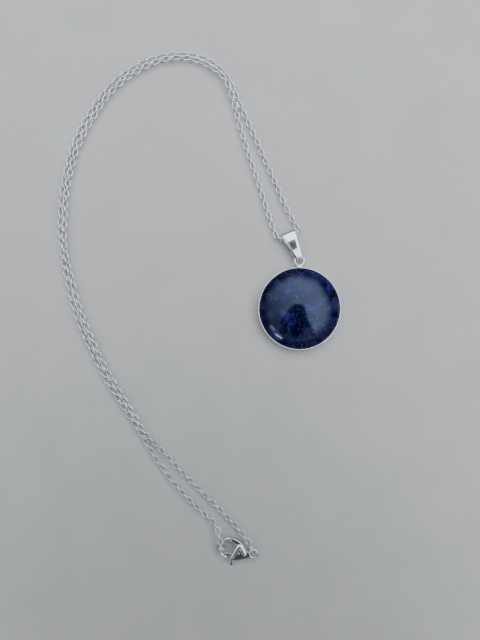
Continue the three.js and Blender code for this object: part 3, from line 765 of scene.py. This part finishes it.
def bail_place():
    axis = joints["bail_swing"]["axis"]
    lean = math.atan2(-axis[1], -axis[0])
    centre = Vector(joints["pendant_sway"]["pos_m"]) / MM
    return Matrix.Translation((centre.x, centre.y, 0)) @ Matrix.Rotation(lean, 4, "Z")


def make_bail():
    """The sheet runs from the front tip up to a crease, over the roll, and back down behind."""
    low, high = box_mm("bail")
    roll = joints["bail_swing"]["pos_m"][2] / MM
    outer = high.z - roll
    back = low.z
    crease = BAIL_LENGTH - BAIL_FLAT
    run = crease - BAIL_TIP
    front = []
    dish = []
    for i in range(DISH_STEPS + 1):
        down = run * (1 - i / DISH_STEPS)
        front.append((crease - down, high.z - BAIL_SLOPE * down))
        dish.append(DISH_SLOPE * down * (1 - down / run))
    front.insert(1, (front[0][0] + TIP_CORNER, front[0][1]))
    dish.insert(1, 0.0)
    turn = arc((BAIL_LENGTH, roll), outer, 90, -90, ROLL_STEPS)
    behind = [(BAIL_LENGTH - BACK_LINE, back), (BAIL_TIP + TIP_CORNER, back), (BAIL_TIP, back)]
    line = [*front, *turn, *behind]
    count = len(line)
    top = BAIL_LENGTH + outer
    bm = bmesh.new()
    column = [bm.verts.new((0, y, z)) for y, z in line]
    edges = [bm.edges.new(pair) for pair in zip(column, column[1:])]
    columns = [column]
    for _ in range(5):
        made = bmesh.ops.extrude_edge_only(bm, edges=edges)["geom"]
        edges = [g for g in made if isinstance(g, bmesh.types.BMEdge) and len(g.link_faces) == 1
                 and not any(v in columns[-1] for v in g.verts)]
        copies = [v for e in edges for v in e.verts]
        column = [next(v for v in copies if (v.co - w.co).length < 1e-6) for w in columns[-1]]
        columns.append(column)
    for place, column in enumerate(columns):
        for i, vert in enumerate(column):
            y, z = line[i]
            before, after = line[max(i - 1, 0)], line[min(i + 1, count - 1)]
            length = math.hypot(after[0] - before[0], after[1] - before[1])
            inward = Vector((0, (after[1] - before[1]) / length, -(after[0] - before[0]) / length))
            share = min(1.0, (y - BAIL_TIP) / (top - BAIL_TIP))
            half = (BAIL_TIP_WIDTH + (BAIL_TOP_WIDTH - BAIL_TIP_WIDTH) * share) / 2
            half -= max(0.0, TIP_CORNER - (y - BAIL_TIP))
            fade = min(1.0, max(0.0, (z - back) / outer))
            panel = half - FACET - DISH_WALL
            x = (-half, FACET - half, -panel, panel, half - FACET, half)[place]
            sunk = dish[i] if i < len(dish) else 0.0
            tilt = DISH_TILT * min(1.0, sunk / DISH_TILTED)
            drop = (FACET_DROP * fade, 0.0, sunk + tilt, sunk - tilt, 0.0, FACET_DROP * fade)[place]
            vert.co = Vector((x, y, z)) + inward * drop
    bmesh.ops.transform(bm, matrix=bail_place(), verts=bm.verts)
    piece = finish_piece("bail_sheet", bm, "bail", folded_sheet, ["bail"])
    wall = piece.modifiers.new("sheet thickness", "SOLIDIFY")
    wall.thickness = BAIL_SHEET * MM
    wall.offset = -1.0
    wall.use_even_offset = True
    round_edges(piece, SHEET_EDGE, FACET_ANGLE)


def make_prongs():
    """Two short tongues, from the front and the back leaf, that meet inside the pendant's loop."""
    back = box_mm("bail")[0].z + BAIL_SHEET / 2
    hook = joints["pendant_sway"]["pos_m"][2] / MM
    tips = {
        "front": [
            (1.6, 2.66), (1.2, 2.6), (0.86, 2.42), (0.58, 2.12), (0.36, 1.72),
            (0.26, hook + PRONG_GAP / 2),
        ],
        "back": [
            (1.6, back), (1.2, back), (0.86, 0.46), (0.58, 0.6), (0.36, 0.86),
            (0.26, hook - PRONG_GAP / 2),
        ],
    }
    bm = bmesh.new()
    for line in tips.values():
        sweep(bm, [(0, y, z) for y, z in line], PRONG_WIDTHS, sides=16, flatten=PRONG_FLATNESS)
    bmesh.ops.transform(bm, matrix=bail_place(), verts=bm.verts)
    finish_piece("bail_prongs", bm, "bail", folded_sheet, ["bail"])


make_bail()
make_prongs()


# ---- clasp ------------------------------------------------------------------------------------
HOOK_RADIUS = 3.55
HOOK_WIRE = 1.05
HOOK_MIDDLE = 1.4
HOOK_FROM = 58
HOOK_TO = 255
HOOK_ROOT = 0.66
HOOK_TAPER = 0.17
HOOK_TAPER_STEPS = 12
HOOK_TIP = [0.54, 0.56, 0.5, 0.28]
TAIL = (2.118, -0.493)
TAIL_WIDTH = 3.4
TAIL_WIRE = 0.85
clasp_low, clasp_high = box_mm("clasp_body")
hook_centre = Vector((clasp_low.x + HOOK_RADIUS, clasp_high.y - HOOK_RADIUS))


def on_clasp(points):
    """From hook radii round the hook's centre to millimetres."""
    return [(hook_centre.x + x * HOOK_RADIUS, hook_centre.y + y * HOOK_RADIUS) for x, y in points]


# The outlines of the clasp's pieces, in hook radii round the hook's centre.
CHEEK = [
    (0.08, 0.99), (0.48, 0.87), (0.93, 0.61), (1.30, 0.21), (1.58, -0.21), (1.80, -0.35),
    (1.83, -0.75), (1.55, -0.86), (1.04, -1.00), (0.48, -1.03), (0.14, -0.94), (0.20, -0.69),
    (0.45, -0.30), (0.65, 0.15), (0.48, 0.49), (0.08, 0.69),
]
SLOT = [
    (-0.20, -0.21), (0.45, 0.04), (1.01, -0.04), (1.27, -0.44), (1.18, -0.77), (0.70, -1.25),
    (-0.31, -1.28),
]
LEVER = [
    (0.99, -0.25), (1.06, -0.46), (0.96, -0.63), (0.42, -0.77), (0.27, -0.89), (0.25, -1.51),
    (0.07, -1.55), (0.04, -0.86), (-0.03, -0.68), (-0.25, -0.61), (-0.46, -0.46), (-0.38, -0.35),
    (-0.08, -0.44), (0.42, -0.37), (0.76, -0.18),
]
RIDGE = [
    (0.14, -0.82), (0.37, -0.45), (0.62, -0.03), (0.90, 0.25), (1.17, -0.03), (1.33, -0.34),
    (1.43, -0.60),
]
RIDGE_HEIGHT = 2.1
RIDGE_HALF = 0.8
RIDGE_ENDS = [0.36, 0.62]
RIDGE_FLATNESS = 0.45
RIDGE_ROLL = math.radians(23)
CHEEK_TOP = 2.1
CHEEK_EDGE = 0.24
SLOT_BELOW = 0.1
SLOT_ABOVE = 0.46
LEVER_EDGE = 0.2
RIVET_STANDS = 0.1
RIVET_EDGE = 0.16


def smooth_outline(points, steps=5):
    """A closed outline with its corners eased into curves."""
    loop = [Vector((x, y, 0)) for x, y in points]
    line = curve_through([loop[-1], *loop, loop[0], loop[1]], steps)
    return [(p.x, p.y) for p in line[steps:steps * (len(loop) + 1)]]


def make_clasp_body():
    bm = bmesh.new()
    outline_plate(bm, smooth_outline(on_clasp(CHEEK), 4), clasp_low.z, CHEEK_TOP, edge=CHEEK_EDGE)
    casting = finish_piece("clasp_casting", bm, "clasp", cast_steel, ["clasp_body"])
    bm = bmesh.new()
    low, high = box_mm("clasp_lever")
    outline_plate(bm, on_clasp(SLOT), low.z - SLOT_BELOW, high.z + SLOT_ABOVE)
    bmesh.ops.scale(bm, vec=(MM, MM, MM), verts=bm.verts)
    mesh = bpy.data.meshes.new("slot")
    bm.to_mesh(mesh)
    bm.free()
    cutter = bpy.data.objects.new("slot", mesh)
    bpy.context.collection.objects.link(cutter)
    cut = casting.modifiers.new("slot", "BOOLEAN")
    cut.object = cutter
    cut.operation = "DIFFERENCE"
    cut.solver = "EXACT"
    bpy.context.view_layer.update()
    shaped = bpy.data.meshes.new_from_object(casting.evaluated_get(bpy.context.evaluated_depsgraph_get()))
    casting.modifiers.clear()
    casting.data = shaped
    bpy.data.objects.remove(cutter)

    bm = bmesh.new()
    hook = arc(hook_centre, HOOK_RADIUS - HOOK_WIRE / 2, HOOK_FROM, HOOK_TO, 32)
    hook = [(x, y, HOOK_MIDDLE) for x, y in hook]
    radii = [HOOK_ROOT - HOOK_TAPER * min(1.0, i / HOOK_TAPER_STEPS) for i in range(len(hook))]
    radii[-len(HOOK_TIP):] = HOOK_TIP
    sweep(bm, hook, radii, sides=16)
    ridge = curve_through([(x, y, RIDGE_HEIGHT) for x, y in on_clasp(RIDGE)], 4)
    halves = [*RIDGE_ENDS, *[RIDGE_HALF] * (len(ridge) - 2 * len(RIDGE_ENDS)), *reversed(RIDGE_ENDS)]
    sweep(bm, ridge, halves, sides=24, flatten=RIDGE_FLATNESS, roll=RIDGE_ROLL)
    tail = Vector((*on_clasp([TAIL])[0], HOOK_MIDDLE))
    wire_ring(bm, (TAIL_WIDTH - TAIL_WIRE) / 2, TAIL_WIRE, Matrix.Translation(tail), around=40, sides=16)
    finish_piece("clasp_hook", bm, "clasp", cast_steel, ["clasp_body"])


def make_lever():
    low, high = box_mm("clasp_lever")
    bm = bmesh.new()
    outline_plate(bm, smooth_outline(on_clasp(LEVER), 3), low.z, high.z, edge=LEVER_EDGE)
    finish_piece("clasp_gate", bm, "clasp_lever", cast_steel, ["clasp_lever"])


def make_rivet():
    low, high = box_mm("clasp_pin")
    centre = (low + high) / 2
    radius = (high.x - low.x) / 2
    top = min(high.z, CHEEK_TOP + RIVET_STANDS)
    head = arc((radius - RIVET_EDGE, top - RIVET_EDGE), RIVET_EDGE, 0, 90, 4)
    foot = [(r, low.z + top - z) for r, z in reversed(head)]
    bm = bmesh.new()
    spun(bm, [(0, low.z), *foot, *head, (0, top)], 32)
    bmesh.ops.translate(bm, vec=(centre.x, centre.y, 0), verts=bm.verts)
    finish_piece("clasp_rivet", bm, "clasp", polished, ["clasp_pin"])


make_clasp_body()
make_lever()
make_rivet()
for slot in frame["nodes"]["clasp_spring"].material_slots:
    slot.material = spring_wire


# ---- floor and light --------------------------------------------------------------------------
FLOOR_HALF = 2.0            # metres
FLOOR_DROP = 0.00003        # metres, so that nothing lies exactly in the floor
FLAG = [(-15, 26), (22, 26), (40, 5), (60, -60), (180, -235), (-155, -235), (-100, -60), (-50, -5)]
FLAG_HEIGHT = 158
SKY_EDGE = 0.50             # height of a direction at which the sky starts
SKY_BLUR = 0.16
SKY_LIGHT = 3.6
SKY_LEAST = 0.05
SKY_DIM = 0.16              # how bright the sky's darker side is against its brighter side


def set_stage(name, bm, material):
    """A piece of the set round the necklace."""
    mesh = bpy.data.meshes.new(name)
    bm.to_mesh(mesh)
    bm.free()
    mesh.materials.append(material)
    piece = bpy.data.objects.new(name, mesh)
    bpy.context.collection.objects.link(piece)
    return piece


def make_floor():
    material, tree, surface = blank_material("pale paper")
    place = add_node(tree, "ShaderNodeTexCoord")
    grain = add_node(tree, "ShaderNodeTexNoise", Scale=60.0, Detail=5.0)
    tint = colour_ramp(tree, [(0.3, (0.41, 0.405, 0.39)), (0.7, (0.44, 0.435, 0.42))])
    wire_up(tree, [
        (place.outputs["Object"], grain.inputs["Vector"]),
        (grain.outputs["Fac"], tint.inputs["Fac"]),
        (tint.outputs["Color"], surface.inputs["Base Color"]),
    ])
    surface.inputs["Roughness"].default_value = 0.7
    bm = bmesh.new()
    bmesh.ops.create_grid(bm, x_segments=1, y_segments=1, size=FLOOR_HALF)
    bmesh.ops.translate(bm, vec=(0, 0, -FLOOR_DROP), verts=bm.verts)
    set_stage("floor", bm, material)


def soft_light(name, place, size, power):
    """A bluish window that shines on the table's middle. Its size is in metres."""
    data = bpy.data.lights.new(name, "AREA")
    data.shape = "RECTANGLE"
    data.size, data.size_y = size
    data.energy = power
    data.color = (0.86, 0.93, 1.0)
    light = bpy.data.objects.new(name, data)
    light.location = place
    light.rotation_euler = (-Vector(place)).to_track_quat("-Z", "Y").to_euler()
    bpy.context.collection.objects.link(light)


def hang_flag():
    """A black card over the table, which keeps the light's reflection off one side of the dome."""
    material, tree, surface = blank_material("black card")
    surface.inputs["Base Color"].default_value = (0.11, 0.09, 0.10, 1.0)
    surface.inputs["Roughness"].default_value = 0.9
    bm = bmesh.new()
    bm.faces.new([bm.verts.new((x * MM, y * MM, FLAG_HEIGHT * MM)) for x, y in FLAG])
    set_stage("flag", bm, material).visible_camera = False


def eased(tree, source, low, high):
    """A smooth step from 0 at low to 1 at high."""
    step = add_node(tree, "ShaderNodeMapRange", interpolation_type="SMOOTHSTEP")
    step.inputs["From Min"].default_value = low
    step.inputs["From Max"].default_value = high
    tree.links.new(source, step.inputs["Value"])
    return step.outputs["Result"]


def computed(tree, operation, *values):
    """A Math node on sockets and plain numbers."""
    node = add_node(tree, "ShaderNodeMath", operation=operation)
    for socket, value in zip(node.inputs, values):
        if isinstance(value, (int, float)):
            socket.default_value = value
        else:
            tree.links.new(value, socket)
    return node.outputs[0]


def light_room():
    """A wide soft sky, brightest to the upper right and dark near the horizon."""
    world = bpy.data.worlds.new("room")
    bpy.context.scene.world = world
    world.use_nodes = True
    tree = world.node_tree
    background = tree.nodes["Background"]
    place = add_node(tree, "ShaderNodeTexCoord")
    axes = add_node(tree, "ShaderNodeSeparateXYZ")
    tree.links.new(place.outputs["Generated"], axes.inputs[0])
    x, y, z = axes.outputs
    overhead = eased(tree, z, SKY_EDGE - SKY_BLUR, SKY_EDGE + SKY_BLUR)
    toward = computed(tree, "MULTIPLY_ADD", x, 0.55, computed(tree, "MULTIPLY", y, 0.4))
    slant = computed(tree, "MULTIPLY_ADD", eased(tree, toward, -0.65, 0.40), 1 - SKY_DIM, SKY_DIM)
    bright = computed(tree, "MULTIPLY", overhead, slant)
    strength = computed(tree, "MULTIPLY_ADD", bright, SKY_LIGHT, SKY_LEAST)
    tree.links.new(strength, background.inputs["Strength"])
    background.inputs["Color"].default_value = (0.87, 0.94, 1.0, 1.0)
    soft_light("window strip", (-0.554, -0.836, 0.509), (0.26, 0.022), 1.1)
    soft_light("window frame", (-0.757, -0.600, 0.576), (0.20, 0.08), 0.3)


make_floor()
hang_flag()
light_room()
